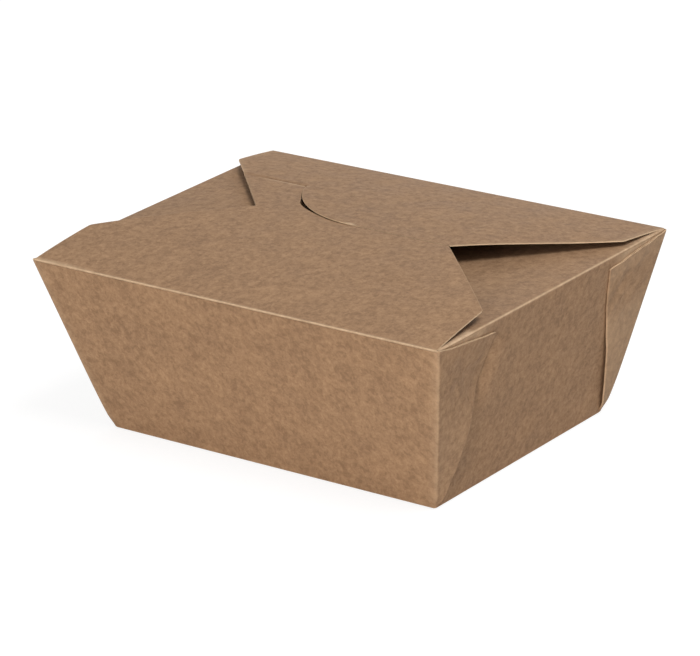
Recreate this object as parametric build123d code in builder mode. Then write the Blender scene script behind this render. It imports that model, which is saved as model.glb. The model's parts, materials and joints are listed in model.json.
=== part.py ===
# Folded kraft-board food carton: one die-cut sheet with web corners and an interlocking lid.
# Millimetres, +Z up, origin at the middle of the base's underside, the front flap at -Y.
import os
from math import atan2, cos, degrees, radians, sqrt

from build123d import *

# Tray: outside sizes of the base, and how far each wall leans out at the rim
base_length = 195.0
base_width = 140.0
wall_height = 90.0
wall_flare = 22.5

# Board, and the round creases at the rim that run a little past each flap
board = 0.45
crease_radius = 0.5
crease_end = 0.6
hinge_gap = 0.12

# Web corners: the doubled gusset that lies on the outside of each end wall
gusset_start = 2.5
gusset_end = 1.5
gusset_reach = 46.0
gusset_drop = 6.5
gusset_lift = 1.6
gusset_glue = 0.3

# Dust flaps: the two end flaps under the lid
dust_depth = 76.0
dust_inset = 8.0
dust_taper = 18.0
dust_slope = 1.5
dust_round = 8.0

# Lid: two large flaps that spring up in one shallow dome and meet at the lock line
lid_rise = 8.5
hinge_inset = 2.0
shoulder_inset = 3.0
front_shoulder = 39.0
back_shoulder = 31.0
neck_width = 116.0
lock_line = 2.0
cut_round = 2.5
cut_gap = 0.4

# Lock: the front flap's tongue lies on the back flap's wing, beside the round lip of its slit
tongue_reach = 38.0
lip_run = 57.0
lay_gap = 0.3
ramp_length = 6.0
wing_nose = 18.0

# Values worked out from the sizes above
rim_length = base_length + 2 * wall_flare
rim_width = base_width + 2 * wall_flare
wall_lean = degrees(atan2(wall_flare, wall_height))
wall_section = board / cos(radians(wall_lean))
hinge_x = (rim_length - wall_section) / 2
hinge_y = (rim_width - wall_section) / 2
hinge_half = rim_length / 2 - hinge_inset
crease_half = hinge_half + crease_end
shoulder_half = rim_length / 2 - shoulder_inset
neck_half = neck_width / 2
dome_radius = (hinge_y**2 + lid_rise**2) / (2 * lid_rise)
dome_centre = wall_height + lid_rise - dome_radius
lid_floor = Plane.XY.offset(wall_height - lid_rise)
lid_room = 3 * lid_rise

# The tongue ends on the back flap's tapered edge, and the slit follows the tongue's round side
front_shoulder_y = front_shoulder - hinge_y
back_shoulder_y = hinge_y - back_shoulder
back_lead = lock_line + cut_gap
tongue_line = lock_line + tongue_reach
tongue_radius = (lip_run**2 + tongue_reach**2) / (2 * tongue_reach)
slit_end = tongue_line + ramp_length
wing_dip = board + lay_gap


def taper_point(y):
    """Point on the left tapered edge of the back flap."""
    share = (y - lock_line) / (back_shoulder_y - lock_line)
    return -neck_half - share * (shoulder_half - neck_half), y


def round_point(x, gap):
    """Point on the tongue's round side, or on the lip that stands off it by gap."""
    return x, lock_line + tongue_radius - sqrt((tongue_radius - gap) ** 2 - x**2)


def round_x(y, gap):
    """Where that side reaches y."""
    return -sqrt((tongue_radius - gap) ** 2 - (lock_line + tongue_radius - y) ** 2)


def round_arc(start, end, gap):
    """Arc along that side, from one x to another."""
    middle = (start + end) / 2
    return ThreePointArc(round_point(start, gap), round_point(middle, gap), round_point(end, gap))


def dome_point(y, drop):
    """Point (y, z) on a dome that lies lower than the lid's by drop."""
    return y, dome_centre + sqrt((dome_radius - drop) ** 2 - y**2)


def dome_arc(start, end, drop):
    """Arc along such a dome, from one y to another."""
    middle = (start + end) / 2
    return ThreePointArc(dome_point(start, drop), dome_point(middle, drop), dome_point(end, drop))


def is_shoulder(corner):
    """True for a flap's shoulder corners."""
    return abs(abs(corner.X) - shoulder_half) < board


# Section of the lid's board along the dome, right across the box
with BuildSketch(Plane.YZ) as lid_section:
    with BuildLine():
        lid_top = dome_arc(-hinge_y, hinge_y, -board / 2)
        lid_low = dome_arc(-hinge_y, hinge_y, board / 2)
        Line(lid_top @ 0, lid_low @ 0)
        Line(lid_top @ 1, lid_low @ 1)
    make_face()

# Section of the wing, which leaves the dome by a short ramp and runs on one thickness lower
with BuildSketch(Plane.YZ) as wing_section:
    with BuildLine():
        wing_top = dome_arc(lock_line, tongue_line, wing_dip - board / 2)
        wing_low = dome_arc(lock_line, tongue_line, wing_dip + board / 2)
        Line(wing_top @ 0, wing_low @ 0)
        Polyline(
            wing_top @ 1,
            dome_point(slit_end, -board / 2),
            dome_point(slit_end, board / 2),
            wing_low @ 1,
        )
    make_face()

# Front flap: shoulders, taper to the neck, a straight edge on the right and the tongue on the left
with BuildPart() as front_flap:
    extrude(lid_section.sketch, amount=rim_length / 2, both=True)
    with BuildSketch(lid_floor):
        with BuildLine():
            Polyline(
                (0, lock_line),
                (neck_half, lock_line),
                (shoulder_half, front_shoulder_y),
                (hinge_half, -hinge_y),
                (-hinge_half, -hinge_y),
                (-shoulder_half, front_shoulder_y),
                taper_point(lock_line),
                taper_point(tongue_line),
                (-lip_run, tongue_line),
            )
            round_arc(0, -lip_run, 0)
        make_face()
        fillet(vertices().filter_by(is_shoulder), cut_round)
    extrude(amount=lid_room, mode=Mode.INTERSECT)
    with Locations((0, -hinge_y, wall_height)):
        Cylinder(crease_radius, 2 * crease_half, rotation=(0, 90, 0))

# Wing of the back flap: left of the slit, under the front flap's tongue
wing_x = round_x(slit_end, 0)
with BuildPart() as back_wing:
    extrude(wing_section.sketch, amount=-rim_length / 2)
    with BuildSketch(lid_floor):
        with BuildLine():
            round_arc(-wing_nose, wing_x, 0)
            Polyline(
                (wing_x, slit_end),
                taper_point(slit_end),
                taper_point(back_lead),
                (-wing_nose, back_lead),
                round_point(-wing_nose, 0),
            )
        make_face()
    extrude(amount=lid_room, mode=Mode.INTERSECT)

# Back flap with its crease along the back rim; its round lip is the right side of the slit
lip_x = round_x(slit_end, cut_gap)
with BuildPart() as back_flap:
    extrude(lid_section.sketch, amount=rim_length / 2, both=True)
    with BuildSketch(lid_floor):
        with BuildLine():
            Polyline(
                (0, back_lead),
                (neck_half, back_lead),
                (shoulder_half, back_shoulder_y),
                (hinge_half, hinge_y),
                (-hinge_half, hinge_y),
                (-shoulder_half, back_shoulder_y),
                taper_point(slit_end),
                (lip_x, slit_end),
            )
            round_arc(0, lip_x, cut_gap)
        make_face()
        fillet(vertices().filter_by(is_shoulder), cut_round)
    extrude(amount=lid_room, mode=Mode.INTERSECT)
    add(back_wing.part)
    with Locations((0, hinge_y, wall_height)):
        Cylinder(crease_radius, 2 * crease_half, rotation=(0, 90, 0))

# Right dust flap, folded in from the end rim and sloping down a little
dust_half = rim_width / 2 - dust_inset
dust_normal = Vector(0, 0, 1).rotate(Axis.Y, -dust_slope)
with BuildPart() as dust_flap:
    with BuildSketch(Plane((hinge_x, 0, wall_height), x_dir=(0, 1, 0), z_dir=dust_normal)):
        Polygon(
            (-dust_half, 0),
            (dust_half, 0),
            (dust_half - dust_taper, dust_depth),
            (dust_taper - dust_half, dust_depth),
            align=None,
        )
        fillet(vertices().group_by(Axis.Y)[-1], dust_round)
    extrude(amount=board / 2, both=True)
    with Locations((hinge_x, 0, wall_height)):
        Cylinder(crease_radius, 2 * (dust_half + crease_end), rotation=(90, 0, 0))

# Front right gusset: two layers folded flat on the end wall, open a little at the free fold
base_corner = Vector(base_length / 2, -base_width / 2, 0)
rim_corner = Vector(rim_length / 2, -rim_width / 2, wall_height)
corner_edge = rim_corner - base_corner
gusset_tip = Vector(
    rim_length / 2 - wall_flare * gusset_drop / wall_height,
    gusset_reach - rim_width / 2,
    wall_height - gusset_drop,
)
end_normal = Vector(wall_height, 0, -wall_flare)
gusset_top = corner_edge.length - gusset_end
fold_tip = Plane(base_corner, x_dir=corner_edge, z_dir=end_normal).to_local_coords(gusset_tip)
lifted_normal = end_normal.rotate(Axis(base_corner, corner_edge), -gusset_lift)
with BuildPart() as gusset:
    with BuildSketch(Plane(base_corner, x_dir=corner_edge, z_dir=lifted_normal).offset(-gusset_glue)):
        Polygon((gusset_start, 0), (gusset_top, 0), (fold_tip.X, fold_tip.Y), align=None)
    extrude(amount=2 * board)

# Carton: base and walls, with the gussets, dust flaps and back flap of the same sheet
with BuildPart() as carton:
    with BuildSketch():
        Rectangle(base_length, base_width)
    extrude(amount=wall_height, taper=-wall_lean)
    offset(amount=-board, openings=faces().sort_by(Axis.Z)[-1])
    with Locations((0, -hinge_y, wall_height)):
        crease_room = crease_radius + hinge_gap
        Box(2 * (crease_half + hinge_gap), 4 * crease_room, 2 * crease_room, mode=Mode.SUBTRACT)
    add(gusset.part)
    mirror(gusset.part, about=Plane.XZ)
    mirror(gusset.part, about=Plane.YZ)
    add(gusset.part.rotate(Axis.Z, 180))
    add(dust_flap.part)
    mirror(dust_flap.part, about=Plane.YZ)
    add(back_flap.part)

front_flap.part.label = "front_flap"
carton.part.label = "carton"
os.makedirs("parts", exist_ok=True)
export_step(front_flap.part, "parts/front_flap.step")
export_step(carton.part, "parts/carton.step")
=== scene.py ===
import json
from math import atan, cos, hypot, pi, radians, sin, sqrt, tan

import bmesh
import bpy
from mathutils import Matrix, Vector, noise


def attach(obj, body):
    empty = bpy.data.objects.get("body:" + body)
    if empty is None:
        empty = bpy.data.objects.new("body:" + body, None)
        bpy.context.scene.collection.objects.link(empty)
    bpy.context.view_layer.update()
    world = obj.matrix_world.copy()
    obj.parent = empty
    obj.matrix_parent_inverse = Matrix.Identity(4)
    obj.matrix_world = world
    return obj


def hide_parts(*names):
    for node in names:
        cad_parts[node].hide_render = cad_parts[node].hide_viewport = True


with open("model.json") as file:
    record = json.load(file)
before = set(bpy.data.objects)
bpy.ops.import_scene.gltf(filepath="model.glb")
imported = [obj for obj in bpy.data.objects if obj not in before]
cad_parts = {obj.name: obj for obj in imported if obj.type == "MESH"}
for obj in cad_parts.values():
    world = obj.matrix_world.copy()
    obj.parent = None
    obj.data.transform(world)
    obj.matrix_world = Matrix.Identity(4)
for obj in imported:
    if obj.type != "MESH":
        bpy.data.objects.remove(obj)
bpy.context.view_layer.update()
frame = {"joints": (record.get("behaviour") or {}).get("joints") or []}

# Kraft board
# The whole carton is cut from one sheet of unbleached kraft food board, about half a millimetre thick.
# It is matte and mottled with fibres outside, has a thin clear film inside, and turns pale where it is
# creased or cut. Lengths are in millimetres where no comment says metres, and wear runs from 0 to 1, as does
# the painted light and shade that shares its pale mix.
board = 0.45
millimetre = 0.001


def link_value(tree, source, target):
    """Joins a node's output to an input, or sets the input where the source is a plain value."""
    if isinstance(source, bpy.types.NodeSocket):
        tree.links.new(source, target)
    else:
        target.default_value = source


def place_noise(tree, vector, size, detail, roughness, distortion=0.0):
    """Noise texture whose grains are about size across."""
    grains = tree.nodes.new("ShaderNodeTexNoise")
    grains.inputs["Scale"].default_value = 1 / (size * millimetre)
    grains.inputs["Detail"].default_value = detail
    grains.inputs["Roughness"].default_value = roughness
    grains.inputs["Distortion"].default_value = distortion
    tree.links.new(vector, grains.inputs["Vector"])
    return grains.outputs[0]


def place_range(tree, value, low, high, to_low=0.0, to_high=1.0):
    """Map Range node, clamped."""
    span = tree.nodes.new("ShaderNodeMapRange")
    link_value(tree, value, span.inputs["Value"])
    for name, limit in (("From Min", low), ("From Max", high), ("To Min", to_low), ("To Max", to_high)):
        span.inputs[name].default_value = limit
    return span.outputs["Result"]


def place_math(tree, operation, first, second):
    """Math node on two sockets or values."""
    sums = tree.nodes.new("ShaderNodeMath")
    sums.operation = operation
    link_value(tree, first, sums.inputs[0])
    link_value(tree, second, sums.inputs[1])
    return sums.outputs[0]


def place_mix(tree, share, first, second):
    """Colour mix of two sockets or colours."""
    mix = tree.nodes.new("ShaderNodeMix")
    mix.data_type = "RGBA"
    link_value(tree, share, mix.inputs[0])
    link_value(tree, first, mix.inputs[6])
    link_value(tree, second, mix.inputs[7])
    return mix.outputs[2]


def new_group(name, inputs, outputs):
    """Shader node group with named sockets."""
    group = bpy.data.node_groups.new(name, "ShaderNodeTree")
    for socket_name, kind in inputs:
        group.interface.new_socket(socket_name, in_out="INPUT", socket_type="NodeSocket" + kind)
    for socket_name, kind in outputs:
        group.interface.new_socket(socket_name, in_out="OUTPUT", socket_type="NodeSocket" + kind)
    return group, group.nodes.new("NodeGroupInput"), group.nodes.new("NodeGroupOutput")


# Fibre mottling: clouds, pulp and fibres by grain size and share in the tone, with a few dark shives
cloud_size, cloud_share = 16.0, 0.35
pulp_size, pulp_share = 3.4, 0.7
fibre_size, fibre_share = 1.3, 0.5
shive_size, shive_most = 1.7, 0.35
fibre_group, fibre_in, fibre_out = new_group(
    "kraft_fibre",
    (("Dark", "Color"), ("Light", "Color"), ("Shive", "Color")),
    (("Color", "Color"), ("Height", "Float"), ("Clouds", "Float")),
)
where = fibre_group.nodes.new("ShaderNodeTexCoord").outputs["Object"]
clouds = place_noise(fibre_group, where, cloud_size, detail=3.0, roughness=0.55)
pulp = place_noise(fibre_group, where, pulp_size, detail=3.0, roughness=0.55, distortion=0.4)
fibres = place_noise(fibre_group, where, fibre_size, detail=3.0, roughness=0.6, distortion=0.8)
shives = place_noise(fibre_group, where, shive_size, detail=2.0, roughness=0.5, distortion=2.5)
tone = place_math(fibre_group, "MULTIPLY", pulp, pulp_share)
for grains, share in ((clouds, cloud_share), (fibres, fibre_share)):
    tone = place_math(fibre_group, "ADD", tone, place_math(fibre_group, "MULTIPLY", grains, share))
shade = place_range(fibre_group, tone, 0.6, 1.0)
mottled = place_mix(fibre_group, shade, fibre_in.outputs["Dark"], fibre_in.outputs["Light"])
shive_mask = place_range(fibre_group, shives, 0.66, 0.76, 0.0, shive_most)
flecked = place_mix(fibre_group, shive_mask, mottled, fibre_in.outputs["Shive"])
for result, name in ((flecked, "Color"), (fibres, "Height"), (clouds, "Clouds")):
    fibre_group.links.new(result, fibre_out.inputs[name])

# Rubbed folds: the board's pale inner fibres show in patches where a crease or a cut edge is worn. The same
# pale mix also paints light and shade: lighter and darker web faces, a highlight along the front flap's
# tongue end and lighter strips above the webs.
patch_size = 4.0
wear_and_painted_light_group, wear_and_painted_light_in, wear_and_painted_light_out = new_group(
    "rubbed_fold_and_painted_light", (("Color", "Color"), ("Pale", "Color")), (("Color", "Color"),)
)
wear_and_painted_light_node = wear_and_painted_light_group.nodes.new("ShaderNodeAttribute")
wear_and_painted_light_node.attribute_name = "wear_and_painted_light"
where = wear_and_painted_light_group.nodes.new("ShaderNodeTexCoord").outputs["Object"]
patches = place_noise(wear_and_painted_light_group, where, patch_size, detail=3.0, roughness=0.6)
rubbed_and_painted_light = place_math(
    wear_and_painted_light_group, "MULTIPLY", wear_and_painted_light_node.outputs["Fac"], place_range(wear_and_painted_light_group, patches, 0.25, 0.75, 0.45, 1.0)
)
paled = place_mix(wear_and_painted_light_group, rubbed_and_painted_light, wear_and_painted_light_in.outputs["Color"], wear_and_painted_light_in.outputs["Pale"])
wear_and_painted_light_group.links.new(paled, wear_and_painted_light_out.inputs["Color"])

# Shives are darker than the pulp, the roughness varies with the clouds, and the fibres stand up a little
shive_dark = 0.62
roughness_swing = 0.06
fibre_height = 0.05


def board_finish(name, dark, light, pale, roughness, relief):
    """Kraft finish: mottled board, pale at its rubbed folds and where light and shade are painted on, with a
    fibrous relief.
    """
    finish = bpy.data.materials.new(name)
    finish.use_nodes = True
    tree = finish.node_tree
    shader = tree.nodes["Principled BSDF"]
    fibre = tree.nodes.new("ShaderNodeGroup")
    fibre.node_tree = fibre_group
    shive = [shive_dark * part for part in dark]
    for socket, colour in (("Dark", dark), ("Light", light), ("Shive", shive)):
        fibre.inputs[socket].default_value = (*colour, 1)
    # The pale mix: wear at folds and cut edges, and painted light and shade on the web faces, tongue end and
    # strips
    rub = tree.nodes.new("ShaderNodeGroup")
    rub.node_tree = wear_and_painted_light_group
    rub.inputs["Pale"].default_value = (*pale, 1)
    tree.links.new(fibre.outputs["Color"], rub.inputs["Color"])
    tree.links.new(rub.outputs["Color"], shader.inputs["Base Color"])
    smoother, rougher = roughness - roughness_swing, roughness + roughness_swing
    matte = place_range(tree, fibre.outputs["Clouds"], 0.3, 0.7, smoother, rougher)
    tree.links.new(matte, shader.inputs["Roughness"])
    bump = tree.nodes.new("ShaderNodeBump")
    bump.inputs["Strength"].default_value = relief
    bump.inputs["Distance"].default_value = fibre_height * millimetre
    tree.links.new(fibre.outputs["Height"], bump.inputs["Height"])
    tree.links.new(bump.outputs["Normal"], shader.inputs["Normal"])
    return finish


# Its pale colour shows wear, and also the painted light and shade that the pale mix carries
kraft_outside = board_finish(
    "kraft_outside",
    dark=(0.24, 0.134, 0.067),
    light=(0.415, 0.249, 0.134),
    pale=(0.74, 0.53, 0.34),
    roughness=0.86,
    relief=0.3,
)
kraft_inside = board_finish(
    "kraft_inside",
    dark=(0.225, 0.125, 0.062),
    light=(0.40, 0.24, 0.13),
    pale=(0.56, 0.38, 0.23),
    roughness=0.5,
    relief=0.25,
)
kraft_cut = board_finish(
    "kraft_cut_edge",
    dark=(0.44, 0.29, 0.17),
    light=(0.68, 0.49, 0.31),
    pale=(0.78, 0.58, 0.38),
    roughness=0.92,
    relief=0.6,
)

# Tray
# The base, four leaning walls and four web corners. Each web is two layers of the same sheet, folded
# flat on the outside of the end wall: the long wall runs round the corner into the outer layer, which
# turns back at its free fold into the inner layer and so into the end wall. No glue shows.
base_length = 195.0
base_width = 140.0
lean = 0.25
base_fold = 0.8
rim_drop = 0.6
layer = 0.52
pressed_layer = 0.47
web_tip_y = 46.5
web_tip_z = 83.5
lid_half = 119.2
edge_band = 0.45
edge_round = 0.9
corner_top = 0.45

# The front flap's hinge line gives the height of the rim, and its distance from the middle
hinge_place = frame["joints"][0]["pos_m"]
hinge_y = -hinge_place[1] / millimetre
rim_z = hinge_place[2] / millimetre

wall_angle = atan(lean)
wall_skin = board / 2 / cos(wall_angle)
base_z = board / 2
foot_z = base_z + base_fold * tan((pi / 2 - wall_angle) / 2) * cos(wall_angle)
top_z = rim_z - rim_drop

sheet = bmesh.new()
sheet_wear = sheet.verts.layers.float.new("wear_and_painted_light")


def between(first, last, share):
    return first + (last - first) * share


def smooth(share):
    """Eased step from 0 to 1."""
    share = min(1.0, max(0.0, share))
    return share * share * (3 - 2 * share)


def side_of(place):
    """1 on the right or at the back, and -1 on the left or at the front."""
    return 1 if place > 0 else -1


def wall_x(z):
    """Half length of the tray at the middle of an end wall's board."""
    return base_length / 2 + lean * z - wall_skin


def wall_y(z):
    """Half width of the tray at the middle of a long wall's board."""
    return base_width / 2 + lean * z - wall_skin


# Waves in the walls: how far they bow, and the waves' lengths along and up; they fade near the walls' edges
broad_bow, broad_along, broad_up = 0.55, 47.0, 41.0
fine_bow, fine_along, fine_up = 0.16, 17.0, 15.0
corner_fade, rim_fade = 12.0, 16.0
end_seed, long_seed = 3.1, 8.3


def uneven(along, z, half, seed):
    """How far a wall bows out at a point; nothing at its rim, foot and corners."""
    held = smooth((half - abs(along)) / corner_fade) * smooth(z / rim_fade) * smooth((top_z - z) / rim_fade)
    broad = noise.noise(Vector((along / broad_along, z / broad_up, seed)))
    fine = noise.noise(Vector((along / fine_along, z / fine_up, seed)))
    return held * (broad_bow * broad + fine_bow * fine)


# Dents that folding left in the end walls: side, y, z, radius, depth
dents = (
    (1, -62.0, 66.0, 26.0, 1.0),
    (1, -54.0, 56.0, 12.0, 0.8),
    (1, -51.0, 66.0, 13.0, 1.1),
    (1, -49.0, 77.0, 12.0, 0.9),
    (1, -30.0, 34.0, 24.0, -0.4),
    (1, 57.0, 67.0, 7.0, 1.2),
    (1, 61.0, 72.0, 8.0, 1.3),
    (1, 66.0, 64.0, 8.0, 1.3),
    (-1, 55.0, 50.0, 24.0, 0.7),
)
dent_fade = 8.0

# How far the upper part of each web is pressed into its end wall. Corners go by the signs of their x and y,
# so (1, -1) is the front right one. The press starts ahead of the free fold and eases off at the corner.
web_press = {(1, -1): 1.9, (1, 1): 0.4, (-1, 1): 0.5, (-1, -1): 0.3}
press_slant = 0.23
press_lead, press_ease = 11.0, 9.0
press_reach = 34.0
press_foot, press_rise, press_fade = 30.0, 28.0, 30.0


def end_x(side, y, z):
    """Middle surface of an end wall, which all layers of its web corners follow."""
    bow = uneven(y, z, wall_y(z), end_seed * side)
    held = smooth((top_z - z) / dent_fade)
    for dent_side, dent_y, dent_z, radius, depth in dents:
        if dent_side == side:
            bow -= held * depth * smooth(1 - hypot(y - dent_y, z - dent_z) / radius)
    press_y = web_tip_y + press_slant * (web_tip_z - z) - press_lead
    pressed = smooth((abs(y) - press_y) / press_ease)
    pressed *= min(1.0, max(0.0, (wall_y(z) - abs(y)) / press_reach))
    pressed *= smooth((z - press_foot) / press_rise) * smooth((top_z - z) / press_fade)
    return wall_x(z) + bow - web_press[side, side_of(y)] * pressed


def long_y(side, x, z):
    """Middle surface of a long wall."""
    return wall_y(z) + uneven(x, z, wall_x(z), long_seed + side)


def spread(first, last, steps, band_first=True, band_last=True):
    """Even positions from first to last, with a narrow band along each cut edge."""
    way = 1 if last > first else -1
    start = [first] if band_first else []
    end = [last] if band_last else []
    low = first + way * edge_band if band_first else first
    high = last - way * edge_band if band_last else last
    count = steps - len(start) - len(end)
    return start + [between(low, high, i / count) for i in range(count + 1)] + end


def new_row(mesh, points):
    """One row of vertices; each point is (x, y, z, wear)."""
    wear_and_painted_light = mesh.verts.layers.float["wear_and_painted_light"]
    row = []
    for x, y, z, rub in points:
        corner = mesh.verts.new((x, y, z))
        corner[wear_and_painted_light] = rub
        row.append(corner)
    return row


def weave(mesh, low, high, closed=False):
    """Faces between two rows that run the same way, the second one further up the sheet."""
    for i in range(len(low) if closed else len(low) - 1):
        j = (i + 1) % len(low)
        mesh.faces.new((low[i], low[j], high[j], high[i]))


def add_row(mesh, low, points):
    """A new row of vertices, joined to the row before it where there is one."""
    high = new_row(mesh, points)
    if low:
        weave(mesh, low, high)
    return high


# The corners are rounder near the base, where the webs start, the back right one most
foot_round = {(1, -1): 0.7, (1, 1): 5.0, (-1, 1): 1.2, (-1, -1): 2.4}
foot_round_fade = 10


def corner_round(corner, v):
    """Radius of a corner edge at v, the share of the wall's height."""
    return edge_round + foot_round[corner] * (1 - v) ** foot_round_fade


# How far each web's free fold stands off the end wall, from its foot to its tip
web_lift = {
    (1, -1): (
        (0.0, 0.0), (0.04, 0.9), (0.1, 1.5), (0.26, 2.3), (0.42, 2.1), (0.55, 0.9), (0.7, 0.3), (1.0, 0.1)
    ),
    (1, 1): ((0.0, 0.0), (0.08, 1.3), (0.2, 1.6), (0.4, 1.3), (0.6, 0.5), (0.75, 0.0), (1.0, 0.0)),
    (-1, 1): ((0.0, 0.0), (0.1, 0.8), (0.4, 1.2), (0.7, 0.8), (1.0, 0.7)),
    (-1, -1): ((0.0, 0.0), (0.1, 1.0), (0.35, 1.4), (0.7, 1.1), (1.0, 0.9)),
}

# How far each free fold bows towards the middle of its end wall
web_bulge = {(1, -1): 2.2, (1, 1): 0.0, (-1, 1): 0.0, (-1, -1): 0.0}
bulge_curve = 2.2

# How rubbed each free fold is, and how pale the face of each web is, from foot to tip. The pale face is
# painted
# light: the lower part of the front right web and the back right web are paler where light falls on them, and
# the back right web dips into a band of painted shade at its crumples high up. The left webs are evenly a
# little paler.
web_rub = {
    (1, -1): ((0.0, 0.25), (0.45, 0.2), (0.6, 0.08), (1.0, 0.1)),
    (1, 1): ((0.0, 0.6), (0.55, 0.55), (0.75, 0.25), (1.0, 0.25)),
    (-1, 1): ((0.0, 0.5), (1.0, 0.5)),
    (-1, -1): ((0.0, 0.5), (1.0, 0.5)),
}
web_pale_and_painted_light = {
    (1, -1): ((0.0, 0.07), (0.35, 0.09), (0.55, 0.03), (0.65, 0.0), (1.0, 0.0)),
    (1, 1): ((0.0, 0.22), (0.6, 0.24), (0.76, 0.06), (0.86, 0.06), (0.96, 0.2), (1.0, 0.2)),
    (-1, 1): ((0.0, 0.06), (1.0, 0.06)),
    (-1, -1): ((0.0, 0.06), (1.0, 0.06)),
}

# Wear round a corner edge, at even angles, and along the cut top of a web
corner_rub = (0.24, 0.28, 0.26, 0.14, 0.04)
corner_angles = [pi / 2 * i / (len(corner_rub) + 1) for i in range(1, len(corner_rub) + 1)]
web_top_rub = 0.2

# A web's layers part over a short way at its foot and are pressed closer near its tip. Its outer layer has
# a slight belly, its upper half is crumpled, and its cut top waves.
web_start = 0.07
squeeze_from, squeeze_run = 0.88, 0.1
web_belly = 0.25
lift_curve = 1.3
crumple_height, crumple_level = 1.2, 0.1
crumples_across, crumples_up = 5.0, 11.0
crumple_from, crumple_rise, crumple_top = 0.5, 0.25, 0.08
crumple_corner, crumple_fold = 0.35, 0.15
top_wave_height, top_waves = 0.5, 7.0
corner_top_run = 0.1
inner_rise = 0.3

# Columns of a web's outer layer, as shares of its width, and the steps round its free fold and its tuck
web_steps = 22
outer_shares = [i / web_steps for i in range(web_steps)] + [0.985, 1.0]
fold_steps, tuck_steps = 6, 4


def along_table(table, v):
    """Value at v in a table of (place, value) pairs, eased between them."""
    for (low, first), (high, second) in zip(table, table[1:]):
        if v <= high:
            return between(first, second, smooth((v - low) / (high - low)))
    return table[-1][1]


def web_grown(v):
    """0 at the foot, where a web has no layers yet, and 1 a little further up."""
    return smooth(v / web_start)


def web_off(corner, share, v):
    """How far both layers of a web stand off the end wall: nothing at the corner, most at the free fold."""
    seed = 5.0 + 2 * corner[0] + corner[1]
    crumple = noise.noise(Vector((share * crumples_across, v * crumples_up, seed)))
    held = smooth((v - crumple_from) / crumple_rise) * smooth((1 - v) / crumple_top)
    held *= smooth(share / crumple_corner) * smooth((1 - share) / crumple_fold)
    crumpled = crumple_height * held * max(crumple + crumple_level, 0.0)
    return along_table(web_lift[corner], v) * share**lift_curve + crumpled


def top_wave(corner, share):
    """How far a web's cut top edge waves up and down."""
    return top_wave_height * noise.noise(Vector((share * top_waves, corner[0], corner[1] + 0.4)))


def web_corner(side_x, side_y, v):
    """Points of one row of a web corner, from the long wall to the end wall."""
    corner = side_x, side_y
    at_top = v == 1.0
    z = between(foot_z, top_z, v)
    radius = corner_round(corner, v)
    grown = web_grown(v)
    gap = grown * between(layer, pressed_layer, smooth((v - squeeze_from) / squeeze_run))
    edge_x = wall_x(z) + 2 * layer * grown
    edge_y = wall_y(z) - radius
    fold_y = between(wall_y(foot_z) - corner_round(corner, 0), web_tip_y, v)
    fold_y -= web_bulge[corner] * sin(pi * v**bulge_curve)
    fold_z = between(foot_z, web_tip_z, v)
    run = hypot(fold_y - edge_y, fold_z - z) or 1.0
    turn_y, turn_z = (fold_y - edge_y) / run, (fold_z - z) / run
    fold_rub = along_table(web_rub[corner], v)
    points = []

    def stand(y, height):
        return end_x(side_x, side_y * y, height)

    # Round the corner edge
    for angle, rub in zip(corner_angles, corner_rub):
        out = edge_x + radius * (sin(angle) - 1)
        height = z + corner_top if at_top else z
        points.append((out, edge_y + radius * cos(angle), height, grown * rub))

    # Outer layer, to the free fold
    for share in outer_shares:
        y, height = between(edge_y, fold_y, share), between(z, fold_z, share)
        off = 2 * gap + web_off(corner, share, v) + web_belly * grown * sin(pi * share) * v
        # A face's paleness here is painted light, and painted shade where it dips; the free fold's share is
        # wear
        rub = grown * (fold_rub / 2 if share == 1.0 else along_table(web_pale_and_painted_light[corner], v))
        if at_top:
            height += corner_top * smooth(1 - share / corner_top_run) + top_wave(corner, share)
            rub = web_top_rub
        points.append((stand(y, height) + off, y, height, rub))

    # Round the free fold
    for i in range(1, fold_steps):
        angle = pi * i / fold_steps
        reach = gap / 2 * sin(angle)
        off = gap * 1.5 + gap / 2 * cos(angle) + web_off(corner, 1.0, v)
        place = fold_y + turn_y * reach, fold_z + turn_z * reach
        points.append((stand(fold_y, fold_z) + off, *place, fold_rub * grown))

    # Inner layer, back to the corner
    for share in outer_shares[::-2] + [0.0]:
        y, height = between(edge_y, fold_y, share), between(z, fold_z, share)
        if at_top:
            height += top_wave(corner, share) + inner_rise * share * (1 - share)
        off = gap + web_off(corner, share, v)
        points.append((stand(y, height) + off, y, height, web_top_rub if at_top else 0.0))

    # Tucked round into the end wall
    for i in range(1, tuck_steps):
        angle = pi * i / tuck_steps
        out = wall_x(z) + gap / 2 * (1 + cos(angle))
        points.append((out, edge_y + gap / 2 * sin(angle), z, 0.0))
    return [(side_x * x, side_y * y, height, rub) for x, y, height, rub in points]


# Columns of the long and end walls, as shares of their straight length
long_steps, end_steps = 62, 48
straight_x = wall_x(top_z) + 2 * layer - corner_round((1, 1), 1)
straight_y = wall_y(top_z) - corner_round((1, 1), 1)
long_columns = [-1.0] + [x / straight_x for x in spread(-lid_half, lid_half, long_steps)] + [1.0]
end_columns = [y / straight_y for y in spread(-straight_y, straight_y, end_steps)]
back_columns = long_columns[::-1]
left_columns = end_columns[::-1]

# The long walls are rubbed at their two edges. The end walls are paler in the narrow strip above each web,
# at the back (1) more than at the front (-1): partly wear, partly painted light that lifts the shade along
# the web's top edge.
long_edge_rub, long_edge_from = 0.22, 0.98
above_web_wear_and_painted_light = {1: 0.6, -1: 0.4}
above_web_low, above_web_fade, above_web_run = 1.0, 1.5, 15.0


def closed_row(front, right, back, left, corner):
    """The walls in order round the tray, with the corner points that corner(side_x, side_y) gives."""
    to_back = front + corner(1, -1) + right + corner(1, 1)[::-1]
    return to_back + back + corner(-1, 1) + left + corner(-1, -1)[::-1]


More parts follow.
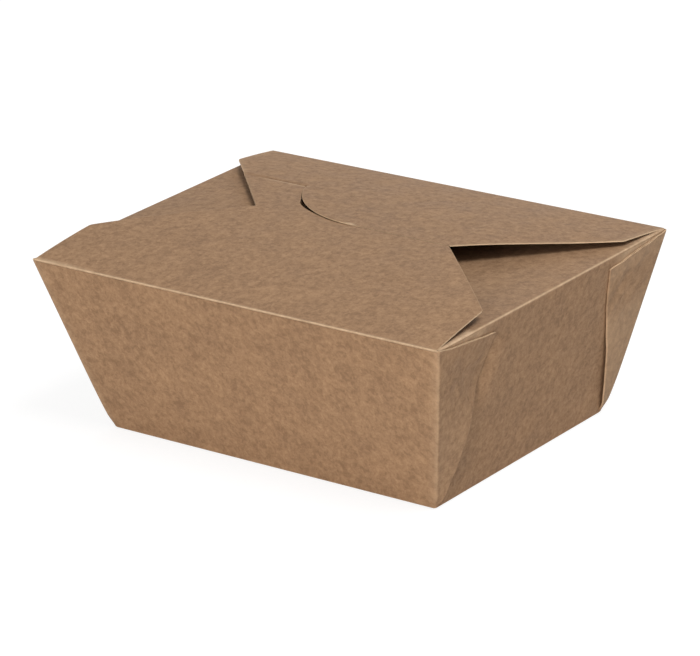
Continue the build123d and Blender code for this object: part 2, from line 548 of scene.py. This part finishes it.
def tray_row(v):
    """One closed row round the tray, from the front left corner towards the right."""
    z = between(foot_z, top_z, v)
    half_x = wall_x(z) + 2 * layer * web_grown(v)

    def long_wall(side, columns):
        points = []
        for share in columns:
            x = share * (half_x - corner_round((side_of(share), side), v))
            near_edge = smooth((abs(share) - long_edge_from) / (1 - long_edge_from))
            rub = long_edge_rub * web_grown(v) * near_edge
            height = z + corner_top if v == 1.0 and abs(share) == 1.0 else z
            points.append((x, side * long_y(side, x, z), height, rub))
        return points

    def end_wall(side, columns):
        points = []
        for share in columns:
            way = side_of(share)
            y = share * (wall_y(z) - corner_round((side, way), v))
            across_web = (wall_y(top_z) - abs(y)) / (wall_y(top_z) - web_tip_y)
            above_web = z - between(top_z, web_tip_z - above_web_low, across_web)
            # Paler strip above the web: partly wear, partly painted light against the shade along its top
            # edge
            rub = above_web_wear_and_painted_light[way] * smooth(above_web / above_web_fade)
            rub *= smooth((abs(y) - web_tip_y) / above_web_run)
            points.append((side * end_x(side, y, z), y, z, rub))
        return points

    front, right = long_wall(-1, long_columns), end_wall(1, end_columns)
    back, left = long_wall(1, back_columns), end_wall(-1, left_columns)
    return closed_row(front, right, back, left, lambda side_x, side_y: web_corner(side_x, side_y, v))


# Rows of the tray, as shares of the wall's height: close together at the foot and under the rim
heights = [0.0, 0.007, 0.016, 0.028, 0.044, 0.064, 0.09, 0.12]
heights += [between(0.12, 0.985, i / 42) for i in range(1, 43)] + [0.993, 1.0]
tray_rows = [new_row(sheet, tray_row(v)) for v in heights]
for low, high in zip(tray_rows, tray_rows[1:]):
    weave(sheet, low, high, closed=True)

# Where the walls stand in a row
front_count, end_count = len(long_columns), len(end_columns)
web_count = (len(tray_rows[0]) - 2 * front_count - 2 * end_count) // 4
front_at = 0
right_at = front_at + front_count + web_count
back_at = right_at + end_count + web_count
left_at = back_at + front_count + web_count

# Base fold: the rows go on round a small radius, most rubbed in its upper half
foot_rub = (0.5, 0.5, 0.15, 0.15)


def foot_x(share, side_y):
    """Place along a long wall's foot, which the round corners at its two ends cut short."""
    return share * (wall_x(foot_z) - corner_round((side_of(share), side_y), 0))


def foot_y(share, side_x):
    """Place along an end wall's foot."""
    return share * (wall_y(foot_z) - corner_round((side_x, side_of(share)), 0))


def foot_row(step, rub):
    """One closed row round the base fold, lower and further in with each step."""
    turn = between(-wall_angle, -pi / 2, step / len(foot_rub))
    inset = base_fold * (cos(wall_angle) - cos(turn))
    z = foot_z + base_fold * (sin(wall_angle) + sin(turn))
    half_x, half_y = wall_x(foot_z) - inset, wall_y(foot_z) - inset

    def foot_corner(side_x, side_y):
        radius = corner_round((side_x, side_y), 0) - inset
        arc = []
        for angle in corner_angles:
            x, y = half_x + radius * (sin(angle) - 1), half_y + radius * (cos(angle) - 1)
            arc.append((side_x * x, side_y * y, z, rub))
        no_web = (side_x * half_x, side_y * (half_y - radius), z, rub)
        return arc + [no_web] * (web_count - len(arc))

    front = [(foot_x(share, -1), -half_y, z, rub) for share in long_columns]
    right = [(half_x, foot_y(share, 1), z, rub) for share in end_columns]
    back = [(foot_x(share, 1), half_y, z, rub) for share in back_columns]
    left = [(-half_x, foot_y(share, -1), z, rub) for share in left_columns]
    return closed_row(front, right, back, left, foot_corner)


upper = tray_rows[0]
for step, rub in enumerate(foot_rub, 1):
    lower = new_row(sheet, foot_row(step, rub))
    weave(sheet, lower, upper, closed=True)
    upper = lower

# Base: a grid inside the last row, with a fan of faces at each corner
base_grid = []
for y_share in end_columns:
    row = []
    for x_share in long_columns:
        along = between(foot_x(x_share, -1), foot_x(x_share, 1), (y_share + 1) / 2)
        aside = between(foot_y(y_share, -1), foot_y(y_share, 1), (x_share + 1) / 2)
        row.append((along, aside, base_z, 0.0))
    base_grid.append(new_row(sheet, row))
for low, high in zip(base_grid, base_grid[1:]):
    weave(sheet, high, low)
base_sides = (
    (front_at, base_grid[0]),
    (right_at, [row[-1] for row in base_grid]),
    (back_at, base_grid[-1][::-1]),
    (left_at, [row[0] for row in base_grid][::-1]),
)
for index, (start, inner) in enumerate(base_sides):
    weave(sheet, inner, upper[start:start + len(inner)])
    next_start = base_sides[(index + 1) % 4][0] or len(upper)
    arc = [upper[i % len(upper)] for i in range(start + len(inner) - 1, next_start + 1)]
    for first, second in zip(arc, arc[1:]):
        sheet.faces.new((inner[-1], second, first))

# Dust flaps
# The end walls go on over the end rims as two flaps with rounded corners, folded in first and lying
# under the lid. The right one slopes down a little, and the left one springs up towards the lid.
dust_depth = 76.0
dust_taper = 24.4
dust_round = 8.0
dust_half = straight_y
dust_slope = radians(1.5)
dust_spring = {1: 0.0, -1: 6.6}
spring_half = 90.0
dust_rim_share = 0.8
dust_cut_rub = 0.35
rim_fold = 0.55
rim_rub = (0.55, 0.9, 1.0, 0.8, 0.35, 0.1)
wall_top_rub = 0.1
dust_steps, round_steps = 17, 6

# The right flap's fold is crushed at both ends: wear, the y where it starts and the way over which it grows
crush_width = 5.0
front_crush, front_crush_y, front_crush_run = 0.95, -62.0, 4.0
back_crush, back_crush_y, back_crush_run = 0.7, 45.0, 35.0


def rim_turn(start, turn):
    """Points (out, up) round a rim fold, from the top of a leaning wall inwards."""
    centre_out = start - rim_fold * cos(wall_angle)
    centre_up = top_z + rim_fold * sin(wall_angle)
    steps = len(rim_rub)
    angles = [between(-wall_angle, turn - wall_angle, i / steps) for i in range(1, steps + 1)]
    return [(centre_out + rim_fold * cos(angle), centre_up + rim_fold * sin(angle)) for angle in angles]


def crushed(side, y, run=0.0):
    """Wear where the right flap's fold is crushed wider, at its two ends, most at the front."""
    front_end = front_crush * smooth((front_crush_y - y) / front_crush_run)
    back_end = back_crush * smooth((y - back_crush_y) / back_crush_run)
    return max(front_end, back_end) * max(0.0, 1 - run / crush_width) if side > 0 else 0.0


# Rows of a dust flap: how far each runs in from the rim, and its half width
dust_runs = [0.6, 1.5]
dust_runs += [between(3.0, dust_depth - dust_round, i / dust_steps) for i in range(dust_steps + 1)]
dust_widths = [dust_half - dust_taper * run / dust_depth for run in dust_runs]
round_from = dust_widths[-1]
for i in range(1, round_steps + 1):
    angle = pi / 2 * i / round_steps
    dust_runs.append(dust_depth - dust_round * (1 - sin(angle)))
    dust_widths.append(round_from - (dust_taper / dust_depth + 1 - cos(angle)) * dust_round)

for side, start, shares in ((1, right_at, end_columns), (-1, left_at, left_columns)):
    row = tray_rows[-1][start:start + len(shares)]
    for corner in row:
        corner[sheet_wear] = wall_top_rub
    turned = rim_turn(wall_x(top_z), pi / 2 + wall_angle + dust_slope)
    for (out, up), rub in zip(turned, rim_rub):
        points = []
        for share in shares:
            y = share * dust_half
            points.append((side * out, y, up, max(dust_rim_share * rub, crushed(side, y))))
        row = add_row(sheet, row, points)
    out, up = turned[-1]
    for run, width in zip(dust_runs, dust_widths):
        x, z = out - run * cos(dust_slope), up - run * sin(dust_slope)
        spring = dust_spring[side] * (1 - (1 - run / dust_depth) ** 2)
        points = []
        for share in shares:
            y = share * width
            cut = run == dust_runs[-1] or (run > 1 and abs(share) > 0.999)
            rub = dust_cut_rub if cut else crushed(side, y, run)
            points.append((side * x, y, z + spring * (1 - (y / spring_half) ** 2), rub))
        row = add_row(sheet, row, points)

# Back flap
# The back wall goes on over the back rim as a large flap that springs up in a shallow dome. A round slit
# parts its left corner, the wing, which bends down under the front flap; the lip right of the slit stays up.
lid_rise = 8.5
dome_radius = (hinge_y**2 + lid_rise**2) / (2 * lid_rise)
shoulder_half = 117.0
shoulder_round = 1.5
neck_half = 58.0
back_shoulder = 31.0
back_shoulder_y = hinge_y - back_shoulder
lock_line = 2.0
cut_gap = 0.4
back_lead = lock_line + cut_gap
tongue_line = 40.0
tongue_run = 57.0
tongue_reach = tongue_line - lock_line
tongue_radius = (tongue_run**2 + tongue_reach**2) / (2 * tongue_reach)
slit_end = 42.0
wing_nose = 18.0

# The back flap lies a little under the dome, rises at the lip and sags at its right side
lie_low = 0.05
lip_rise, lip_width, lip_fade = 0.42, 12.0, 9.0
lip_from, lip_run = 12.0, 16.0
sag_share, sag_from, sag_run = 0.4, 55.0, 60.0
wing_drop = 1.05
wing_press, wing_press_width, wing_press_fade = 1.5, 14.0, 12.0

# Its cut edges are rubbed, and so is one spot where the slit ends at the lock line
cut_rub, beside_cut_rub = 1.0, 0.2
lip_cut_rub, wing_cut_rub, straight_cut_rub = 0.35, 0.4, 0.1
spot_x, spot_long, spot_wide, spot_rub = -1.0, 4.0, 2.2, 1.2
lip_steps, wing_steps, spot_steps = 24, 20, 3


def dome_z(y):
    """Height of the lid's middle surface."""
    return rim_z + lid_rise - dome_radius + sqrt(dome_radius**2 - y**2)


def soft_least(first, second, width):
    """Least of two values, rounded where they meet."""
    near = max(width - abs(first - second), 0.0) / width
    return min(first, second) - near * near * width / 4


def taper_half(y, shoulder):
    """Half width on a tapered edge, from the neck at the lock line to a shoulder."""
    return between(neck_half, shoulder_half, (y - lock_line) / (shoulder - lock_line))


def flap_half(y, hinge, shoulder):
    """Half width of a lid flap at y: a steep side to the shoulder, then a taper to the neck."""
    side = between(lid_half, shoulder_half, (y - hinge) / (shoulder - hinge))
    return soft_least(side, taper_half(y, shoulder), shoulder_round)


def round_x(y, off=0.0):
    """Where the tongue's round side, or a line that stands off it, reaches y."""
    return -sqrt(max((tongue_radius - off) ** 2 - (lock_line + tongue_radius - y) ** 2, 0.0))


def lip_distance(x, y):
    """Distance from the lock: the lip's round edge left of the middle, its straight edge right of it."""
    if x > 0:
        return abs(y - lock_line)
    return abs(hypot(x, y - lock_line - tongue_radius) - tongue_radius)


def back_half(y):
    return flap_half(y, hinge_y, back_shoulder_y)


def back_point(x, y):
    """Point of the flap outside the wing, with its wear."""
    risen = between(lie_low, lip_rise, smooth((lip_from - x) / lip_run))
    risen *= smooth(1 - lip_distance(x, y) / lip_width) * smooth((slit_end - y) / lip_fade)
    sag = sag_share * (dome_z(y) - rim_z) * smooth((x - sag_from) / sag_run)
    rub = smooth(spot_rub - hypot((x - spot_x) / spot_long, (y - back_lead) / spot_wide))
    return x, y, dome_z(y) - lie_low - sag + risen, rub


def wing_point(x, y):
    """The wing leaves the dome by a short ramp and is pressed down most beside the slit."""
    drop = wing_drop * smooth((slit_end - y) / (slit_end - tongue_line))
    pressed = smooth(1 - lip_distance(x, y) / wing_press_width) * smooth((slit_end - y) / wing_press_fade)
    return x, y, dome_z(y) - lie_low - drop - wing_press * pressed, 0.0


# The rim fold, over the part of the back wall that carries the flap
inside = [i for i, share in enumerate(back_columns) if abs(share) * straight_x < lid_half + 0.01]
hinge_x = [back_columns[i] * straight_x for i in inside]
row = [tray_rows[-1][back_at + i] for i in inside]
for corner in row:
    corner[sheet_wear] = wall_top_rub
turned = rim_turn(wall_y(top_z), pi / 2 + wall_angle - atan(hinge_y / dome_radius))
for (out, up), rub in zip(turned, rim_rub):
    row = add_row(sheet, row, [(x, out, up, rub) for x in hinge_x])

# From the rim to the end of the slit, with close rows at the shoulders; the slit parts two of the columns
slit_rim_x = -60.0
slit_column = min(range(len(hinge_x)), key=lambda i: abs(hinge_x[i] - slit_rim_x))
lip_x, wing_x = round_x(slit_end, cut_gap), round_x(slit_end)
back_start = turned[-1][0]
shoulder_run = back_start - back_shoulder_y
back_runs = [0.6, 1.4] + [between(3.0, back_start - slit_end, i / 14) for i in range(15)]
back_runs = sorted(set(back_runs + [shoulder_run + step for step in (-1.5, -0.6, 0.0, 0.6, 1.5)]))
for run in back_runs:
    y = back_start - run
    half = back_half(y)
    grown = run / back_runs[-1]
    lip_side = between(hinge_x[slit_column], lip_x, grown)
    wing_side = between(hinge_x[slit_column + 1], wing_x, grown)
    across = spread(half, lip_side, slit_column, True, False)
    across += spread(wing_side, -half, len(hinge_x) - slit_column - 2, False, True)
    row = add_row(sheet, row, [back_point(x, y) for x in across])
    if run > 1:
        row[0][sheet_wear] = row[-1][sheet_wear] = cut_rub
        row[1][sheet_wear] = row[-2][sheet_wear] = beside_cut_rub

# The lip, right of the slit, with rows closest together where its round edge runs flat
lip_row, wing_row = row[: slit_column + 1], row[slit_column + 1:]
for step in range(1, lip_steps + 1):
    y = back_lead + (slit_end - back_lead) * (1 - step / lip_steps) ** 2
    across = spread(back_half(y), round_x(y, cut_gap), slit_column)
    lip_row = add_row(sheet, lip_row, [back_point(x, y) for x in across])
    if step == lip_steps:
        for corner in lip_row:
            corner[sheet_wear] = max(corner[sheet_wear], straight_cut_rub)
    lip_row[0][sheet_wear] = cut_rub
    lip_row[1][sheet_wear] = beside_cut_rub
    lip_row[-1][sheet_wear] = cut_rub if step > lip_steps - spot_steps else lip_cut_rub

# The wing, left of it
for step in range(1, wing_steps + 1):
    y = between(slit_end, back_lead, step / wing_steps)
    across = spread(min(round_x(y), -wing_nose), -back_half(y), len(wing_row) - 1)
    wing_row = add_row(sheet, wing_row, [wing_point(x, y) for x in across])
    for corner in wing_row if step == wing_steps else (wing_row[0], wing_row[-1]):
        corner[sheet_wear] = wing_cut_rub

# Points that fall together, such as those of a web with no layers at its foot, become one
same_place = 0.004
bmesh.ops.remove_doubles(sheet, verts=sheet.verts, dist=same_place)

# A skin stands off a sharp fold by no more than this many half thicknesses, and the inside is worn less
most_thicker = 1.3
inside_wear = 0.5
crisp_fold = radians(55)


def press_board(mesh, name):
    """Gives the folded sheet its thickness: outer skin, inner skin and cut edges, as one closed mesh."""
    mesh.normal_update()
    wear_and_painted_light = mesh.verts.layers.float["wear_and_painted_light"]
    card = bmesh.new()
    card_wear_and_painted_light = card.verts.layers.float.new("wear_and_painted_light")
    skins = {1: {}, -1: {}}
    for way, skin in skins.items():
        for corner in mesh.verts:
            off = corner.normal * (way * board / 2 * min(corner.calc_shell_factor(), most_thicker))
            skin[corner] = card.verts.new((corner.co + off) * millimetre)
            skin[corner][card_wear_and_painted_light] = corner[wear_and_painted_light] if way > 0 else corner[wear_and_painted_light] * inside_wear
    for face in mesh.faces:
        card.faces.new([skins[1][corner] for corner in face.verts]).material_index = 0
        card.faces.new([skins[-1][corner] for corner in reversed(face.verts)]).material_index = 1
    for edge in mesh.edges:
        if edge.is_boundary:
            loop = edge.link_loops[0]
            first, second = loop.vert, loop.link_loop_next.vert
            rim = (skins[1][second], skins[1][first], skins[-1][first], skins[-1][second])
            card.faces.new(rim).material_index = 2
    shape = bpy.data.meshes.new(name)
    card.to_mesh(shape)
    for finish in (kraft_outside, kraft_inside, kraft_cut):
        shape.materials.append(finish)
    piece = bpy.data.objects.new(name, shape)
    bpy.context.scene.collection.objects.link(piece)
    return piece


def smooth_faces(piece):
    """Smooth shading, apart from crisp folds and cut edges."""
    shape = piece.data
    shape.polygons.foreach_set("use_smooth", [True] * len(shape.polygons))
    shape.set_sharp_from_angle(angle=crisp_fold)


carton_board = press_board(sheet, "carton_board")
smooth_faces(carton_board)
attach(carton_board, "carton")
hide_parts("carton")

# Front flap
# The other large lid flap, hinged on the crease along the front rim. Its tongue, left of the middle, lies
# on the back flap's wing, and its edge dips a little beside the lip that it locks with.
front_shoulder = 39.0
front_shoulder_y = front_shoulder - hinge_y
lock_run = lock_line + hinge_y
crease_radius = 0.42
crease_half = 120.0
crease_rub = 0.8
front_cut_rub, tongue_side_rub = 0.4, 0.15
# The tongue's end row is paler: partly wear, partly a painted highlight of its edge catching the light
tongue_end_wear_and_painted_highlight, tongue_end_from, tongue_end_run = 0.7, -90.0, 16.0
half_columns = 32
tongue_steps = 24
tongue_end_band = 1.4

# Its edge dips along the lock, most at the round part, and a narrow gap opens beside the lip there
dip_least, dip_most, dip_width = 0.06, 0.26, 7.0
dip_from, dip_run = 5.0, 20.0
dip_end, dip_end_from, dip_end_run = 0.3, 26.0, 12.0
gap_width, gap_from, gap_length = 2.7, 4.5, 20.0
flap = bmesh.new()
flap_wear = flap.verts.layers.float.new("wear_and_painted_light")


def front_half(y):
    return flap_half(y, -hinge_y, front_shoulder_y)


def front_point(x, y, rub=0.0):
    """The edge dips under the level of the lip, most along the round part of the lock."""
    depth = between(dip_least, dip_most, smooth((dip_from - x) / dip_run))
    depth *= between(1.0, dip_end, smooth((y - dip_end_from) / dip_end_run))
    return x, y, dome_z(y) - depth * smooth(1 - lip_distance(x, y) / dip_width), rub


def tongue_gap(y):
    """The tongue's side stands off the lip a little at the upper part of the slit."""
    along = (y - gap_from) / gap_length
    return gap_width * sin(pi * along) ** 2 if 0 < along < 1 else 0.0


# Rows beside the crease, by distance from it and wear; at the left they are worn more
crease_rows = {0.05: 0.7, 0.7: 0.2, 1.5: 0.0}
left_rub, left_from, left_run = 0.35, -80.0, 25.0


def rim_wear(x, run):
    """Wear in a row of the flap, nothing where it isn't beside the crease."""
    if run not in crease_rows:
        return 0.0
    return crease_rows[run] + left_rub * smooth((left_from - x) / left_run)


# From the crease to the lock line, with close rows at the crease, the shoulders and the lock
front_steps = 26
front_runs = [*crease_rows, 3.0]
front_runs += [between(5.0, 86.0, i / front_steps) for i in range(1, front_steps + 1)]
front_runs += [front_shoulder + step for step in (-0.9, 0.0, 0.6)]
front_runs += [88.0, 89.6, 90.8, 91.8, 92.7, 93.4, lock_run - cut_gap, lock_run]
row = []
for run in sorted(front_runs):
    y = run - hinge_y
    across = spread(-front_half(y), 0.0, half_columns, True, False)
    across += spread(0.0, front_half(y), half_columns, False, True)[1:]
    row = add_row(flap, row, [front_point(x, y, rim_wear(x, run)) for x in across])
    if run > 1:
        row[0][flap_wear] = row[-1][flap_wear] = front_cut_rub
for corner in row[half_columns:]:
    corner[flap_wear] = straight_cut_rub

# The tongue, which ends on the back flap's tapered edge
tongue_row = row[: half_columns + 1]
tongue_places = [lock_line + tongue_reach * (step / tongue_steps) ** 2 for step in range(1, tongue_steps - 1)]
tongue_places += [tongue_line - tongue_end_band, tongue_line]
for y in tongue_places:
    across = spread(-taper_half(y, back_shoulder_y), round_x(y) - tongue_gap(y), half_columns)
    # Painted highlight, with some wear, along the tongue's end
    end_wear_and_painted_highlight = tongue_end_wear_and_painted_highlight if y == tongue_line else 0.0
    end_wears_and_painted_highlights = [end_wear_and_painted_highlight * smooth((x - tongue_end_from) / tongue_end_run) for x in across]
    tongue_row = add_row(flap, tongue_row, [front_point(x, y, rub) for x, rub in zip(across, end_wears_and_painted_highlights)])
    tongue_row[0][flap_wear] = front_cut_rub
    tongue_row[-1][flap_wear] = tongue_side_rub
bmesh.ops.remove_doubles(flap, verts=flap.verts, dist=same_place)
front_lid = press_board(flap, "front_lid")

# Its crease: a crushed, rounded fold on the hinge line
crease = bmesh.new()
crease_wear = crease.verts.layers.float.new("wear_and_painted_light")
bmesh.ops.create_cone(
    crease,
    cap_ends=True,
    segments=20,
    radius1=crease_radius * millimetre,
    radius2=crease_radius * millimetre,
    depth=2 * crease_half * millimetre,
    matrix=Matrix.Rotation(pi / 2, 4, "Y"),
)
for corner in crease.verts:
    corner[crease_wear] = crease_rub
bmesh.ops.translate(crease, verts=crease.verts, vec=(0, -hinge_y * millimetre, rim_z * millimetre))
crease.from_mesh(front_lid.data)
crease.to_mesh(front_lid.data)
smooth_faces(front_lid)
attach(front_lid, "front_flap")
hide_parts("front_flap")

# Floor, light and camera
# A plain white floor under soft studio light, and a long lens at the photograph's angle. The floor and
# the room look white, and the floor keeps a soft shadow of the object. Lengths are in metres here.
floor_half = 6.0
floor_below = 0.0003
floor_grey = 0.75
floor_glow, floor_glow_share = 1.3, 0.65
room_light, room_seen = 0.33, 1.0
floor_corners = [(-1, -1), (1, -1), (1, 1), (-1, 1)]
floor_shape = bpy.data.meshes.new("floor")
floor_shape.from_pydata([(floor_half * x, floor_half * y, 0) for x, y in floor_corners], [], [(0, 1, 2, 3)])
floor = bpy.data.objects.new("floor", floor_shape)
floor.location.z = -floor_below
bpy.context.scene.collection.objects.link(floor)


def seen_rays(tree):
    """1 where the camera sees a surface, also in a mirror or through glass; 0 for its light on others."""
    path = tree.nodes.new("ShaderNodeLightPath")
    seen = place_math(tree, "MAXIMUM", path.outputs["Is Camera Ray"], path.outputs["Is Glossy Ray"])
    return place_math(tree, "MAXIMUM", seen, path.outputs["Is Transmission Ray"])


floor_white = bpy.data.materials.new("floor_white")
floor_white.use_nodes = True
floor_tree = floor_white.node_tree
floor_paint = floor_tree.nodes["Principled BSDF"]
floor_paint.inputs["Base Color"].default_value = (floor_grey, floor_grey, floor_grey, 1)
floor_paint.inputs["Roughness"].default_value = 0.9
white = floor_tree.nodes.new("ShaderNodeEmission")
white.inputs["Strength"].default_value = floor_glow
floor_mix = floor_tree.nodes.new("ShaderNodeMixShader")
glow_share = place_math(floor_tree, "MULTIPLY", seen_rays(floor_tree), floor_glow_share)
for index, source in enumerate((glow_share, floor_paint.outputs[0], white.outputs[0])):
    floor_tree.links.new(source, floor_mix.inputs[index])
floor_tree.links.new(floor_mix.outputs[0], floor_tree.nodes["Material Output"].inputs["Surface"])
floor_shape.materials.append(floor_white)

world = bpy.data.worlds.new("studio")
bpy.context.scene.world = world
world.use_nodes = True
room_tree = world.node_tree
room = room_tree.nodes["Background"]
room.inputs["Color"].default_value = (1, 1, 1, 1)
room_strength = place_range(room_tree, seen_rays(room_tree), 0.0, 1.0, room_light, room_seen)
room_tree.links.new(room_strength, room.inputs["Strength"])

lit_point = (0, 0, 0.05)


def soft_box(name, size, place, watts, tint=(1, 1, 1)):
    """Large square lamp that faces the object."""
    lamp = bpy.data.lights.new(name, "AREA")
    lamp.shape = "SQUARE"
    lamp.size = size
    lamp.energy = watts
    lamp.color = tint
    stand = bpy.data.objects.new(name, lamp)
    stand.location = place
    stand.rotation_euler = (Vector(lit_point) - Vector(place)).to_track_quat("-Z", "Y").to_euler()
    bpy.context.scene.collection.objects.link(stand)


soft_box("front_box", size=0.5, place=(0.6, -2.4, 0.35), watts=30.5, tint=(1.0, 0.95, 0.9))
soft_box("top_box", size=1.0, place=(1.1, -0.2, 2.2), watts=30.5)
soft_box("back_box", size=1.0, place=(-0.9, 2.4, 0.9), watts=12, tint=(0.92, 0.97, 1.0))

# The camera's focal length comes from pixels of a picture as wide as the photograph, its angles are degrees
picture_width = 700
focal_pixels = 4000
camera_turn, camera_height, camera_roll = 38.4569, 21.0640, -3.0762
lens = bpy.data.cameras.new("photo_camera")
lens.sensor_width = 36
lens.lens = focal_pixels / picture_width * lens.sensor_width
lens.clip_end = 50
camera = bpy.data.objects.new("photo_camera", lens)
camera.location = (1.117398, -1.409756, 0.739740)
camera.rotation_mode = "QUATERNION"
turned_camera = Matrix.Rotation(radians(camera_turn), 4, "Z")
turned_camera = turned_camera @ Matrix.Rotation(radians(90 - camera_height), 4, "X")
turned_camera = turned_camera @ Matrix.Rotation(radians(camera_roll), 4, "Z")
camera.rotation_quaternion = turned_camera.to_quaternion()
bpy.context.scene.collection.objects.link(camera)
bpy.context.scene.camera = camera
bpy.context.scene.view_settings.view_transform = "Standard"
